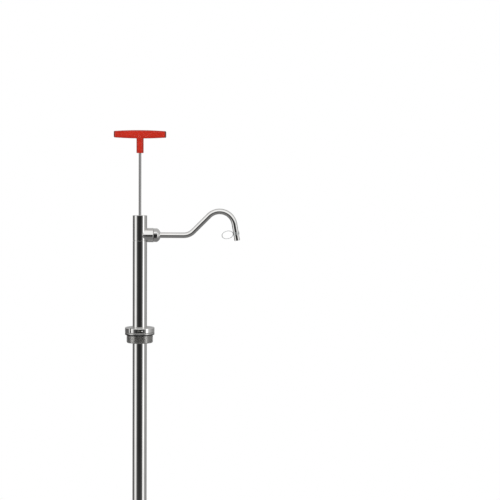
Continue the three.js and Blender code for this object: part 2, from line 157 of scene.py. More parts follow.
# a hexagonal bar worn by polishing: each flat crowned on a wide radius, the corners blended
def wornHexShape(acrossFlats, crown, sharpness, bottom, top, steps=144):
    hub = crown - acrossFlats / 2
    outline = []
    for step in range(steps):
        turn = fullTurn * step / steps
        total = 0.0
        for flat in range(6):
            offFlat = turn - fullTurn * flat / 6
            if math.cos(offFlat) > 0:
                reach = math.sqrt(crown ** 2 - (hub * math.sin(offFlat)) ** 2) - hub * math.cos(offFlat)
                total += reach ** -sharpness
        radius = total ** (-1 / sharpness)
        outline.append((radius * math.cos(turn), radius * math.sin(turn)))
    bm = bmesh.new()
    base = bm.faces.new([bm.verts.new((x, y, bottom)) for x, y in outline])
    made = bmesh.ops.extrude_face_region(bm, geom=[base], use_keep_orig=True)["geom"]
    raised = [g for g in made if isinstance(g, bmesh.types.BMVert)]
    bmesh.ops.translate(bm, verts=raised, vec=(0, 0, top - bottom))
    bmesh.ops.recalc_face_normals(bm, faces=bm.faces[:])
    return bm


def moveShape(bm, matrix):
    bmesh.ops.transform(bm, matrix=matrix, verts=bm.verts)
    return bm


# a solid rod with a helical thread: it is spun too long at both ends, then cut flat
def threadShape(major, pitch, bottom, top, steps):
    depthShare = 0.6
    spareTurns = 3
    minor = major - depthShare * pitch
    ridge = [(minor, 0), (minor, 0.12), (major, 0.44), (major, 0.56), (minor, 0.88), (minor, 1)]
    turns = math.ceil((top - bottom) / pitch) + spareTurns
    bm = bmesh.new()
    start = bottom - 2 * pitch
    verts = [bm.verts.new((r, 0, start + share * pitch)) for r, share in ridge]
    edges = [bm.edges.new(pair) for pair in zip(verts, verts[1:])]
    bmesh.ops.spin(bm, geom=verts + edges, cent=(0, 0, 0), axis=(0, 0, 1), angle=fullTurn * turns,
                   steps=steps * turns, dvec=(0, 0, pitch / steps), use_merge=False)
    bmesh.ops.remove_doubles(bm, verts=bm.verts, dist=10 * mergeGap)
    for height, side in ((bottom, -1), (top, 1)):
        bmesh.ops.bisect_plane(bm, geom=bm.verts[:] + bm.edges[:] + bm.faces[:],
                               plane_co=(0, 0, height), plane_no=(0, 0, side), clear_outer=True)
        rim = [e for e in bm.edges if e.is_boundary and abs(e.verts[0].co.z - height) < mergeGap
               and abs(e.verts[1].co.z - height) < mergeGap]
        bmesh.ops.contextual_create(bm, geom=rim)
    bmesh.ops.recalc_face_normals(bm, faces=bm.faces)
    return bm


def tempObject(bm):
    mesh = bpy.data.meshes.new("tool")
    bm.to_mesh(mesh)
    bm.free()
    made = bpy.data.objects.new("tool", mesh)
    bpy.context.scene.collection.objects.link(made)
    return made


def bakedShape(made):
    depsgraph = bpy.context.evaluated_depsgraph_get()
    mesh = bpy.data.meshes.new_from_object(made.evaluated_get(depsgraph))
    bm = bmesh.new()
    bm.from_mesh(mesh)
    bpy.data.meshes.remove(mesh)
    return bm


# joins (UNION), cuts (DIFFERENCE) or keeps the common part (INTERSECT) of solids
def combined(base, operation, *tools):
    baseObject = tempObject(base)
    toolObjects = [tempObject(tool) for tool in tools]
    for tool in toolObjects:
        modifier = baseObject.modifiers.new("combine", "BOOLEAN")
        modifier.operation = operation
        modifier.solver = "EXACT"
        modifier.object = tool
    result = bakedShape(baseObject)
    for made in [baseObject, *toolObjects]:
        bpy.data.objects.remove(made)
    bmesh.ops.remove_doubles(result, verts=result.verts, dist=mergeGap)
    return result


# softens the edges sharper than an angle
def softened(bm, width, segments=2, angle=50):
    limit = math.radians(angle)
    sharp = [e for e in bm.edges if len(e.link_faces) == 2 and e.calc_face_angle(0) > limit]
    bmesh.ops.bevel(bm, geom=sharp, offset=width, offset_type="OFFSET", segments=segments,
                    profile=0.5, affect="EDGES", clamp_overlap=True, material=-1)
    return bm


# lays a shape drawn about Z along the outlet's axis
def alongOutlet(bm):
    return moveShape(bm, Matrix.Translation((0, 0, outletHeight)) @ Matrix.Rotation(math.pi / 2, 4, "Y"))


# makes the finished piece: in place, on its body, standing for its node; weighting the normals keeps
# large faces evenly shaded beside rounded edges
def makePiece(name, bm, node, finish, smoothAngle=32):
    bodyName = next(b for b, nodes in frame["record"]["behaviour"]["bodies"].items() if node in nodes)
    bmesh.ops.scale(bm, vec=(mm, mm, mm), verts=bm.verts)
    mesh = bpy.data.meshes.new(name)
    bm.to_mesh(mesh)
    bm.free()
    mesh.polygons.foreach_set("use_smooth", [True] * len(mesh.polygons))
    mesh.set_sharp_from_angle(angle=math.radians(smoothAngle))
    mesh.materials.append(finish)
    piece = bpy.data.objects.new(name, mesh)
    shading = piece.modifiers.new("evenShading", "WEIGHTED_NORMAL")
    shading.keep_sharp = True
    bpy.context.scene.collection.objects.link(piece)
    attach(piece, bodyName)
    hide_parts(node)


# a shader node in a finish: inputs take plain values or another node's output
def addNode(finish, kind, inputs=None, **settings):
    node = finish.node_tree.nodes.new("ShaderNode" + kind)
    for name, value in settings.items():
        setattr(node, name, value)
    for socket, value in (inputs or {}).items():
        setInput(finish, node, socket, value)
    return node


def setInput(finish, node, socket, value):
    if isinstance(value, bpy.types.NodeSocket):
        finish.node_tree.links.new(value, node.inputs[socket])
    else:
        node.inputs[socket].default_value = value


def newFinish(name, color, roughness, metallic=0.0):
    finish = bpy.data.materials.new(name)
    finish.use_nodes = True
    shader = finish.node_tree.nodes["Principled BSDF"]
    shader.inputs["Base Color"].default_value = (*color, 1)
    shader.inputs["Roughness"].default_value = roughness
    shader.inputs["Metallic"].default_value = metallic
    return finish, shader


# noise in object space, stretched along each axis
def addNoise(finish, scale, detail=4, stretch=(1, 1, 1)):
    place = addNode(finish, "TexCoord").outputs["Object"]
    mapping = addNode(finish, "Mapping", {"Vector": place, "Scale": stretch})
    inputs = {"Vector": mapping.outputs["Vector"], "Scale": scale, "Detail": detail}
    return addNode(finish, "TexNoise", inputs).outputs["Fac"]


def addRange(finish, value, low, high, fromLow=0.3, fromHigh=0.7):
    inputs = {"Value": value, "From Min": fromLow, "From Max": fromHigh, "To Min": low, "To Max": high}
    return addNode(finish, "MapRange", inputs).outputs["Result"]


def addMath(finish, operation, a, b=0.0):
    return addNode(finish, "Math", {0: a, 1: b}, operation=operation).outputs["Value"]


def addRamp(finish, value, *stops):
    node = addNode(finish, "ValToRGB", {"Fac": value})
    elements = node.color_ramp.elements
    while len(elements) < len(stops):
        elements.new(0.5)
    for element, (position, color) in zip(elements, stops):
        element.position = position
        element.color = (*color, 1)
    return node.outputs["Color"]


# height in millimetres; a second bump can lie under it
def addBump(finish, height, depth, strength=1.0, under=None):
    inputs = {"Height": height, "Distance": depth * mm, "Strength": strength}
    if under:
        inputs["Normal"] = under
    return addNode(finish, "Bump", inputs).outputs["Normal"]


# turned or polished metal: fine tool lines across one axis, or an even grain without an axis, then
# smudges and small scratches
def steelFinish(name, settings, axis=None):
    s = settings
    finish, shader = newFinish(name, s["color"], s["roughness"][0], 1.0)
    if axis:
        stretch = [s["alongLine"]] * 3
        stretch["XYZ".index(axis)] = s["acrossLine"]
    else:
        stretch = [s["acrossLine"] * s["grainShare"]] * 3
    lines = addNoise(finish, 1.0, 3, stretch)
    smudge = addNoise(finish, s["smudgeScale"], 5)
    scratch = addNoise(finish, s["scratchScale"], 2, s["scratchStretch"])
    uneven = addRange(finish, lines, -s["lineRough"], s["lineRough"])
    rough = addMath(finish, "ADD", addRange(finish, smudge, *s["roughness"]), uneven)
    setInput(finish, shader, "Roughness", rough)
    tone = [c * s["toneShare"] for c in s["color"]]
    setInput(finish, shader, "Base Color", addRamp(finish, smudge, (0.3, tone), (0.7, s["color"])))
    shallow = addBump(finish, lines, s["lineDepth"], s["lineStrength"])
    scratched = addBump(finish, scratch, s["scratchDepth"], s["scratchStrength"], shallow)
    setInput(finish, shader, "Normal", scratched)
    return finish


polishedSettings = {
    "color": (0.72, 0.715, 0.70), "roughness": (0.04, 0.08), "toneShare": 0.93, "lineRough": 0.012,
    "alongLine": 60, "acrossLine": 4200, "grainShare": 0.3, "lineDepth": 0.003, "lineStrength": 0.05,
    "smudgeScale": 38, "scratchScale": 900, "scratchStretch": (1, 1, 0.06), "scratchDepth": 0.001,
    "scratchStrength": 0.2,
}
turnedSettings = {
    **polishedSettings,
    "color": (0.60, 0.595, 0.58), "roughness": (0.22, 0.34), "toneShare": 0.86, "lineRough": 0.05,
    "alongLine": 40, "acrossLine": 2600, "lineDepth": 0.012, "lineStrength": 0.35,
    "smudgeScale": 60, "scratchScale": 700, "scratchDepth": 0.004,
}
rodSteelSettings = {**polishedSettings, "color": (0.56, 0.555, 0.55)}
brassSettings = {**turnedSettings, "color": (0.62, 0.42, 0.17)}
polishedUp = steelFinish("polishedSteel", polishedSettings, "Z")
polishedOut = steelFinish("polishedSteelOutlet", polishedSettings, "X")
polishedPlain = steelFinish("polishedSteelBent", polishedSettings)
rodSteel = steelFinish("polishedSteelRod", rodSteelSettings, "Z")
turnedUp = steelFinish("turnedSteel", turnedSettings, "Z")
turnedOut = steelFinish("turnedSteelOutlet", turnedSettings, "X")
turnedPlain = steelFinish("turnedSteelSmall", turnedSettings)
brassFinish = steelFinish("turnedBrass", brassSettings, "Z")

mouldingSettings = {
    "color": (0.64, 0.032, 0.014), "deep": (0.55, 0.024, 0.010), "worn": (0.68, 0.075, 0.04),
    # the near-black colour, span and share at the bar's two ends are painted shade
    "paintedEndShade": (0.07, 0.016, 0.010), "paintedEndShadeSpan": (54.8, 56.6), "paintedEndShadeShare": 0.9,
    "roughness": (0.20, 0.30), "specular": 0.25, "coat": 0.12, "coatRoughness": 0.14,
    "subsurface": 0.08, "subsurfaceDepth": 2, "subsurfaceColor": (1.0, 0.25, 0.12),
    "flowScale": 34, "flowStretch": (1, 1, 2.5), "wornShare": 0.35, "wornSpan": (0.515, 0.56),
    "partingWidth": 0.12, "partingHeight": 0.05, "partingStrength": 0.5,
    "peelScale": 2300, "peelDepth": 0.03, "peelStrength": 0.12,
}


# satin red moulding: orange-peel skin, faint flow marks, a parting line, paler worn edges and
# painted shade darkening the two ends of the bar
def redMoulding():
    s = mouldingSettings
    finish, shader = newFinish("redMoulding", s["color"], s["roughness"][0])
    shader.inputs["Subsurface Weight"].default_value = s["subsurface"]
    shader.inputs["Subsurface Scale"].default_value = s["subsurfaceDepth"] * mm
    shader.inputs["Subsurface Radius"].default_value = s["subsurfaceColor"]
    shader.inputs["Specular IOR Level"].default_value = s["specular"]
    shader.inputs["Coat Weight"].default_value = s["coat"]
    shader.inputs["Coat Roughness"].default_value = s["coatRoughness"]
    flow = addNoise(finish, s["flowScale"], 4, s["flowStretch"])
    setInput(finish, shader, "Roughness", addRange(finish, flow, *s["roughness"]))
    place = addNode(finish, "SeparateXYZ", {0: addNode(finish, "TexCoord").outputs["Object"]})
    offMiddle = addMath(finish, "ABSOLUTE", place.outputs["X"])
    # painted shade: the colour turns nearly black towards both ends of the bar
    paintedEndShadeSpan = [limit * mm for limit in s["paintedEndShadeSpan"]]
    paintedEndShade = addRange(finish, offMiddle, 0.0, s["paintedEndShadeShare"], *paintedEndShadeSpan)
    sharpness = addNode(finish, "NewGeometry").outputs["Pointiness"]
    worn = addRange(finish, sharpness, 0.0, s["wornShare"], *s["wornSpan"])
    tint = addRamp(finish, flow, (0.3, s["deep"]), (0.7, s["color"]))
    for share, color in ((worn, s["worn"]), (paintedEndShade, s["paintedEndShade"])):
        mix = addNode(finish, "Mix", data_type="RGBA")
        for socket, value in ((0, share), (6, tint), (7, (*color, 1))):
            setInput(finish, mix, socket, value)
        tint = mix.outputs[2]
    setInput(finish, shader, "Base Color", tint)
    fromMiddle = addMath(finish, "ABSOLUTE", place.outputs["Y"])
    parting = addMath(finish, "LESS_THAN", fromMiddle, s["partingWidth"] * mm)
    peel = addBump(finish, addNoise(finish, s["peelScale"], 2), s["peelDepth"], s["peelStrength"])
    raised = addBump(finish, parting, s["partingHeight"], s["partingStrength"], peel)
    setInput(finish, shader, "Normal", raised)
    return finish


# a finish with cloudy colour and roughness over a fine bump
def cloudyFinish(name, settings):
    s = settings
    finish, shader = newFinish(name, s["light"], s["roughness"][0])
    cloud = addNoise(finish, s["cloudScale"], 4)
    setInput(finish, shader, "Roughness", addRange(finish, cloud, *s["roughness"]))
    setInput(finish, shader, "Base Color", addRamp(finish, cloud, (0.3, s["dark"]), (0.7, s["light"])))
    grain = addNoise(finish, 1.0, 3, s["grain"])
    setInput(finish, shader, "Normal", addBump(finish, grain, s["grainDepth"], 0.4))
    for socket, value in s.get("sockets", {}).items():
        shader.inputs[socket].default_value = value
    return finish


ptfeSettings = {
    "light": (0.88, 0.88, 0.86), "dark": (0.80, 0.80, 0.76), "roughness": (0.38, 0.55), "cloudScale": 90,
    "grain": (60, 60, 3000), "grainDepth": 0.01,
    "sockets": {"Subsurface Weight": 0.25, "Subsurface Scale": 2 * mm},
}
rubberSettings = {
    "light": (0.035, 0.034, 0.033), "dark": (0.014, 0.014, 0.015), "roughness": (0.5, 0.78),
    "cloudScale": 120, "grain": (3800, 3800, 3800), "grainDepth": 0.03,
}
nylonSettings = {
    "light": (0.93, 0.94, 0.94), "dark": (0.84, 0.86, 0.86), "roughness": (0.03, 0.10),
    "cloudScale": 260, "grain": (900, 900, 900), "grainDepth": 0.05,
    "sockets": {"Transmission Weight": 0.9, "IOR": 1.25},
}
ptfe = cloudyFinish("whitePtfe", ptfeSettings)
rubber = cloudyFinish("blackRubber", rubberSettings)
nylon = cloudyFinish("clearNylon", nylonSettings)
redPlastic = redMoulding()
print("finishes ready")


handleSettings = {
    "barHeight": 18.2, "crown": 2.1, "barDepth": 15, "longEdge": 4.6, "endEdge": 1.9, "stations": 9,
    "endInset": 2.4, "endRecess": 0.7, "stemEdge": 1.2, "stemTaper": 2, "stemRise": (2, 6),
    "insertBore": 5.5, "voxel": 0.5, "smoothing": 4, "skinRoom": 0.1,
}


# the grip bar: rounded along its length, crowned, with a shallow recess at each end
def gripBar(low, high):
    s = handleSettings
    half = (high.x - low.x) / 2
    centreHeight = high.z - s["skinRoom"] - s["barHeight"] / 2
    bm = boxShape(2 * half, s["barDepth"], s["barHeight"], (0, 0, 0))
    longEdges = [e for e in bm.edges if abs(e.verts[0].co.x - e.verts[1].co.x) > half]
    bmesh.ops.bevel(bm, geom=longEdges, offset=s["longEdge"], offset_type="OFFSET", segments=8,
                    profile=0.55, affect="EDGES", material=-1)
    ends = [f for f in bm.faces if abs(f.normal.x) > 0.9]
    bmesh.ops.inset_region(bm, faces=ends, thickness=s["endInset"], depth=-s["endRecess"])
    rims = [e for e in bm.edges if all(abs(abs(v.co.x) - half) < mergeGap for v in e.verts)
            and any(abs(f.normal.x) < 0.5 for f in e.link_faces)]
    bmesh.ops.bevel(bm, geom=rims, offset=s["endEdge"], offset_type="OFFSET", segments=4,
                    profile=0.5, affect="EDGES", material=-1)
    for station in range(1 - s["stations"], s["stations"]):
        bmesh.ops.bisect_plane(bm, geom=bm.verts[:] + bm.edges[:] + bm.faces[:],
                               plane_co=(half * station / s["stations"], 0, 0), plane_no=(1, 0, 0))
    for vert in bm.verts:
        vert.co.z *= 1 - 2 * s["crown"] / s["barHeight"] * (vert.co.x / half) ** 2
    return moveShape(bm, Matrix.Translation((0, 0, centreHeight)))


# bar and stem run into each other and are skinned over as one moulding; the pocket is cut afterwards
def buildHandle():
    s = handleSettings
    low, high = corners("handle")
    stemRadius = high.y
    stemTop, stemEnd = (high.z - s["barHeight"] + rise for rise in s["stemRise"])
    stem = turnedShape([(0, low.z), (stemRadius, low.z, s["stemEdge"]), (stemRadius, stemTop, 0.5),
                        (stemRadius - s["stemTaper"], stemEnd), (0, stemEnd)], closed=False)
    bar = tempObject(gripBar(low, high))
    stemObject = tempObject(stem)
    both = bmesh.new()
    both.from_mesh(bar.data)
    both.from_mesh(stemObject.data)
    for made in (bar, stemObject):
        bpy.data.objects.remove(made)
    shell = tempObject(both)
    remesh = shell.modifiers.new("skin", "REMESH")
    remesh.mode = "VOXEL"
    remesh.voxel_size = s["voxel"]
    smooth = shell.modifiers.new("smooth", "SMOOTH")
    smooth.factor = 0.5
    smooth.iterations = s["smoothing"]
    skinned = bakedShape(shell)
    bpy.data.objects.remove(shell)
    insertTop = corners("handle_insert")[1].z + clearance
    pocket = rodShape(s["insertBore"], low.z - 5, insertTop)
    makePiece("handleGrip", combined(skinned, "DIFFERENCE", pocket), "handle", redPlastic, 60)


rodSettings = {"pitch": 1.0, "threadDepth": 0.5, "tip": 0.6, "lowerThread": 10.6, "upperThread": 20.6}


# outline points of a thread's ridges between two heights, for a thread that stays hidden in its seat
def ridges(radius, pitch, bottom, top, depth):
    points = []
    for i in range(round((top - bottom) / pitch)):
        height = bottom + i * pitch
        points += [(radius - depth, height), (radius, height + 0.4 * pitch), (radius, height + 0.6 * pitch)]
    return points + [(radius - depth, top)]


def buildRod():
    s = rodSettings
    low, high = corners("pump_rod")
    radius, depth = high.x, s["threadDepth"]
    lower = ridges(radius, s["pitch"], low.z + s["tip"], low.z + s["lowerThread"], depth)
    upper = ridges(radius, s["pitch"], high.z - s["upperThread"], high.z - s["tip"], depth)
    outline = [(0, low.z), (radius - depth, low.z), *lower, (radius, low.z + s["lowerThread"] + depth),
               (radius, high.z - s["upperThread"] - depth), *upper, (radius - depth, high.z), (0, high.z)]
    makePiece("rod", turnedShape(outline, closed=False, steps=smallSteps), "pump_rod", rodSteel)


insertSettings = {"bore": 3.3, "edge": 0.3, "groove": 0.5, "grooveHalf": 1.5}


# a sleeve with one groove round its middle, which keys it into the moulding
def buildInsert():
    s = insertSettings
    low, high = corners("handle_insert")
    floor = high.x - s["groove"]
    middle = (low.z + high.z) / 2
    outer, inner = s["grooveHalf"] + s["groove"], s["grooveHalf"]
    profile = [(s["bore"], low.z, 0.2), (high.x, low.z, s["edge"]), (high.x, middle - outer, 0.1),
               (floor, middle - inner), (floor, middle + inner), (high.x, middle + outer, 0.1),
               (high.x, high.z, s["edge"]), (s["bore"], high.z, 0.2)]
    makePiece("handleInsert", turnedShape(profile), "handle_insert", brassFinish)


buildHandle()
buildRod()
buildInsert()
print("handle and rod built")


pistonSettings = {
    "inletRadius": 5.2, "chamberRadius": 8.5, "sleeveRadius": 11.2, "flangeHeight": 3, "seatHeight": 7,
    "cagePassage": 5.8, "windowRadius": 3.6, "windowReach": 12, "windowRise": 0.5, "rodSocket": 3.3,
    "cageWeb": 3, "cageEdge": 0.25, "lockNutFlats": 10, "lockNutChamfer": 0.7,
}


def buildBall(name, node):
    low, high = corners(node)
    makePiece(name, ballShape(high.x, (low.z + high.z) / 2), node, polishedPlain)


def buildPiston():
    s = pistonSettings
    low, high = corners("piston_body")
    flangeTop = low.z + s["flangeHeight"]
    seat = low.z + s["seatHeight"]
    coneTop = seat + s["chamberRadius"] - s["inletRadius"]
    body = [(s["inletRadius"], low.z, 0.4), (high.x, low.z, 0.5), (high.x, flangeTop, 0.2),
            (s["sleeveRadius"], flangeTop, 0.2), (s["sleeveRadius"], high.z, 0.5),
            (s["chamberRadius"], high.z, 0.3), (s["chamberRadius"], coneTop, 0.3),
            (s["inletRadius"], seat, 0.2)]
    makePiece("pistonSleeve", turnedShape(body), "piston_body", turnedUp)

    cageLow, cageHigh = corners("piston_cage")
    rodEnd = corners("pump_rod")[0].z
    passageTop = rodEnd - clearance - s["cageWeb"]
    windowHeight = (high.z + passageTop) / 2 + s["windowRise"]
    blank = rodShape(cageHigh.x, cageLow.z, cageHigh.z, 0.5)
    passage = rodShape(s["cagePassage"], cageLow.z - 1, passageTop)
    socket = rodShape(s["rodSocket"], rodEnd - clearance, cageHigh.z + 1)
    windows = []
    for axis in "XY":
        window = rodShape(s["windowRadius"], -s["windowReach"], s["windowReach"])
        turn = Matrix.Rotation(math.pi / 2, 4, axis)
        windows.append(moveShape(window, Matrix.Translation((0, 0, windowHeight)) @ turn))
    cage = combined(blank, "DIFFERENCE", passage, socket, *windows)
    makePiece("pistonCage", softened(cage, s["cageEdge"]), "piston_cage", turnedUp)
    buildBall("pistonBall", "piston_ball")

    lockLow, lockHigh = corners("rod_lock_nut")
    lockNut = hexNut(s["lockNutFlats"], lockLow.z, lockHigh.z, s["rodSocket"], s["lockNutChamfer"])
    makePiece("rodLockNut", lockNut, "rod_lock_nut", turnedUp)


# a hexagonal nut with both faces chamfered and its hole countersunk at both ends
def hexNut(acrossFlats, bottom, top, bore, chamfer):
    corner = acrossFlats / math.sqrt(3)
    sunk, flare, edge = 0.4, 1.3, 0.12
    envelope = turnedShape([(0, bottom), (corner - chamfer, bottom), (corner, bottom + chamfer * 0.6),
                            (corner, top - chamfer * 0.6), (corner - chamfer, top), (0, top)], closed=False)
    hexagon = combined(hexShape(acrossFlats, bottom, top), "INTERSECT", envelope)
    hole = turnedShape([(0, bottom - 1), (bore + flare, bottom - 1), (bore, bottom + sunk),
                        (bore, top - sunk), (bore + flare, top + 1), (0, top + 1)], closed=False)
    return softened(combined(hexagon, "DIFFERENCE", hole), edge)


sealSettings = {"lipDepth": 0.9, "flareStart": 1.4, "flareEnd": 2.4}


# piston seals: a ring with a lip at each end that flares out to the bore, and a relief between them
def sealShape(low, high, inner):
    s = sealSettings
    outer = high.x
    lip = outer - s["lipDepth"]
    start, end = s["flareStart"], s["flareEnd"]
    return turnedShape([(inner, low.z, 0.2), (lip, low.z, 0.4), (outer, low.z + start, 0.3),
                        (outer, low.z + end, 0.3), (lip, (low.z + high.z) / 2, 0.5),
                        (outer, high.z - end, 0.3), (outer, high.z - start, 0.3),
                        (lip, high.z, 0.4), (inner, high.z, 0.2)])


for node, name in (("piston_seal_lower", "lowerPistonSeal"), ("piston_seal_upper", "upperPistonSeal")):
    makePiece(name, sealShape(*corners(node), pistonSettings["sleeveRadius"] + clearance), node, ptfe)
buildPiston()
print("piston built")


# inner radius, edge rounding and finish of each ring; its other sizes come from the frame
uprightRings = {
    "stroke_stop_sleeve": ("strokeStopSleeve", 3.3, 0.8, turnedUp),
    "piston_spacer": ("pistonSpacer", 11.5, 0.3, turnedUp),
    "piston_clamp_ring": ("pistonClampRing", 11.5, 0.8, turnedUp),
    "rod_guide_bush": ("rodGuideBush", 3.3, 0.4, ptfe),
    "rod_packing": ("rodPacking", 3.3, 0.8, rubber),
    "bung_gasket": ("bungGasket", 30.1, 0.35, rubber),
}
outletRings = {
    "outlet_seal": ("outletSeal", 6.7, 0.25, ptfe),
    "spout_ferrule": ("spoutFerrule", 6.55, 0.25, turnedOut),
    "slip_washer": ("slipWasher", 6.55, 0.15, turnedOut),
}
# the radius of each seal ring's round section
sealRings = {"foot_oring": ("footSealRing", 0.8), "adapter_oring": ("adapterSealRing", 1.4)}
for node, (name, inner, edge, finish) in uprightRings.items():
    low, high = corners(node)
    makePiece(name, ringShape(inner, high.x, low.z, high.z, edge), node, finish)
for node, (name, inner, edge, finish) in outletRings.items():
    low, high = corners(node)
    makePiece(name, alongOutlet(ringShape(inner, high.y, low.x, high.x, edge)), node, finish)
for node, (name, section) in sealRings.items():
    low, high = corners(node)
    makePiece(name, torusShape(high.x - section, section, (low.z + high.z) / 2), node, rubber)
print("rings built")


barrelSettings = {
    "wall": 1.0, "steps": 128, "seamChamfer": 0.5, "rim": 0.35, "spigotBore": 13.4, "spigotRise": 1.7,
    "portRadius": 6.5, "plugRoof": 5, "plugGap": 0.6, "glandRadius": 9, "spannerHoleRadius": 1.6,
    "spannerHoleDepth": 3, "spannerHoleOffset": 9.6, "glandBore": 3.5, "glandSlot": (30, 2.5, 4),
}


def buildBarrel():
    s = barrelSettings
    bore = tubeRadius - s["wall"]
    chamfer = s["seamChamfer"]
    tube = [(bore, barrelLow.z, 0.15), (tubeRadius, barrelLow.z, 0.25),
            (tubeRadius, barrelHigh.z - chamfer, 0.1), (tubeRadius - chamfer, barrelHigh.z),
            (bore, barrelHigh.z)]
    makePiece("immersionTube", turnedShape(tube, steps=s["steps"]), "immersion_tube", polishedUp)

    seam = barrelHigh.z + clearance
    spigot = bore - clearance
    spigotTop = seam + s["spigotRise"]
    head = [(s["spigotBore"], headLow.z, 0.2), (spigot, headLow.z, 0.4), (spigot, seam),
            (tubeRadius - chamfer, seam), (tubeRadius, seam + chamfer, 0.1),
            (tubeRadius, headHigh.z, s["rim"]), (bore, headHigh.z, 0.2), (bore, spigotTop),
            (s["spigotBore"], spigotTop, 0.2)]
    port = alongOutlet(rodShape(s["portRadius"], 5, tubeRadius + 5))
    headTube = combined(turnedShape(head, steps=s["steps"]), "DIFFERENCE", port)
    makePiece("headTube", headTube, "head_tube", polishedUp)

    low, high = corners("top_plug")
    rodHole = corners("pump_rod")[1].x + s["plugGap"]
    roof = high.z - s["plugRoof"]
    plug = [(s["glandRadius"], low.z, 0.3), (high.x, low.z, 0.4), (high.x, high.z, 0.5),
            (rodHole, high.z, 0.6), (rodHole, roof), (s["glandRadius"], roof)]
    holes = [moveShape(rodShape(s["spannerHoleRadius"], high.z - s["spannerHoleDepth"], high.z + 1),
                       Matrix.Translation((0, side * s["spannerHoleOffset"], 0))) for side in (-1, 1)]
    makePiece("headPlug", combined(turnedShape(plug), "DIFFERENCE", *holes), "top_plug", turnedUp)

    low, high = corners("gland_nut")
    blank = ringShape(s["glandBore"], high.x, low.z, high.z, 0.4)
    slot = boxShape(*s["glandSlot"], (0, 0, low.z))
    makePiece("glandNut", combined(blank, "DIFFERENCE", slot), "gland_nut", turnedUp)


footSettings = {
    "inletRadius": 6.5, "chamberRadius": 10.5, "flangeTop": -715.3, "grooveDepth": 12.7, "grooveRise": 3,
    "grooveHeight": 2.4, "slotWidth": 6, "slotDepth": 8, "slotReach": 50, "seatRise": 15,
    "pinHoleRadius": 1.8, "pinHoleReach": 20, "edge": 0.3,
}


def buildFoot():
    s = footSettings
    low, high = corners("foot_valve_body")
    seat = low.z + s["seatRise"]
    spigot = tubeRadius - barrelSettings["wall"] - clearance
    groove = s["flangeTop"] + s["grooveRise"]
    coneTop = seat + s["chamberRadius"] - s["inletRadius"]
    body = [(s["inletRadius"], low.z, 0.6), (tubeRadius, low.z, 1.0), (tubeRadius, s["flangeTop"], 0.25),
            (spigot, s["flangeTop"]), (spigot, groove, 0.1), (s["grooveDepth"], groove),
            (s["grooveDepth"], groove + s["grooveHeight"]), (spigot, groove + s["grooveHeight"], 0.1),
            (spigot, high.z, 0.6), (s["chamberRadius"], high.z, 0.4), (s["chamberRadius"], coneTop, 0.4),
            (s["inletRadius"], seat, 0.2)]
    width, length = s["slotWidth"], s["slotReach"]
    slots = [boxShape(sizeX, sizeY, 2 * s["slotDepth"], (0, 0, low.z))
             for sizeX, sizeY in ((length, width), (width, length))]
    pinLow, pinHigh = corners("ball_stop_pin")
    pinHeight = (pinLow.z + pinHigh.z) / 2
    lieAlongX = Matrix.Translation((0, 0, pinHeight)) @ Matrix.Rotation(math.pi / 2, 4, "Y")
    pinHole = moveShape(rodShape(s["pinHoleRadius"], -s["pinHoleReach"], s["pinHoleReach"]), lieAlongX)
    footShape = combined(turnedShape(body), "DIFFERENCE", *slots, pinHole)
    makePiece("footValveBody", softened(footShape, s["edge"], 2, 60), "foot_valve_body", turnedUp)
    pin = moveShape(rodShape(pinHigh.y, pinLow.x, pinHigh.x, 0.4), lieAlongX)
    makePiece("ballStopPin", pin, "ball_stop_pin", turnedOut)
    buildBall("footBall", "foot_ball")


buildBarrel()
buildFoot()
print("barrel built")


# the nut's nose is given by its distance from the nut's end and its radius there
outletSettings = {
    "portRadius": 6.5, "rootRadius": 14.2, "swellStart": 9, "swellRise": 0.3, "swellEnd": 18,
    "shoulder": 31, "threadRadius": 12, "threadPitch": 1.5, "threadSteps": 64, "threadEnd": 38.0,
    "threadChamfer": 0.9, "beadRadius": 0.8, "beadSteps": 144, "beadRipples": 40, "beadRipple": 0.012,
    "nutFlats": 28, "nutCrown": 50, "nutSharpness": 40, "nutTurn": math.pi / 2, "nutEdge": 0.14,
    "sealBore": 9.5, "shoulderInner": 42.6, "pipeHole": 6.55, "pipeMouth": 7.2,
    "nose": [(8.6, 16.17), (5.2, 14.0), (2.7, 12.0), (1.1, 9.8), (0, 7.6)],
}


# the weld bead along the saddle where the stub meets the barrel, sunk in both
def buildBead():
    s = outletSettings
    curve = bpy.data.curves.new("bead", "CURVE")
    curve.dimensions = "3D"
    curve.bevel_depth = s["beadRadius"]
    curve.bevel_resolution = 4
    spline = curve.splines.new("POLY")
    spline.points.add(s["beadSteps"] - 1)
    spline.use_cyclic_u = True
    for i, point in enumerate(spline.points):
        angle = fullTurn * i / s["beadSteps"]
        radius = s["rootRadius"] * (1 + s["beadRipple"] * math.sin(angle * s["beadRipples"]))
        across, up = radius * math.cos(angle), radius * math.sin(angle)
        point.co = (math.sqrt(tubeRadius ** 2 - across ** 2), across, outletHeight + up, 1)
    made = bpy.data.objects.new("bead", curve)
    bpy.context.scene.collection.objects.link(made)
    bead = cleaned(bakedShape(made))
    bpy.data.objects.remove(made)
    makePiece("weldBead", bead, "outlet_stub", polishedPlain, 60)


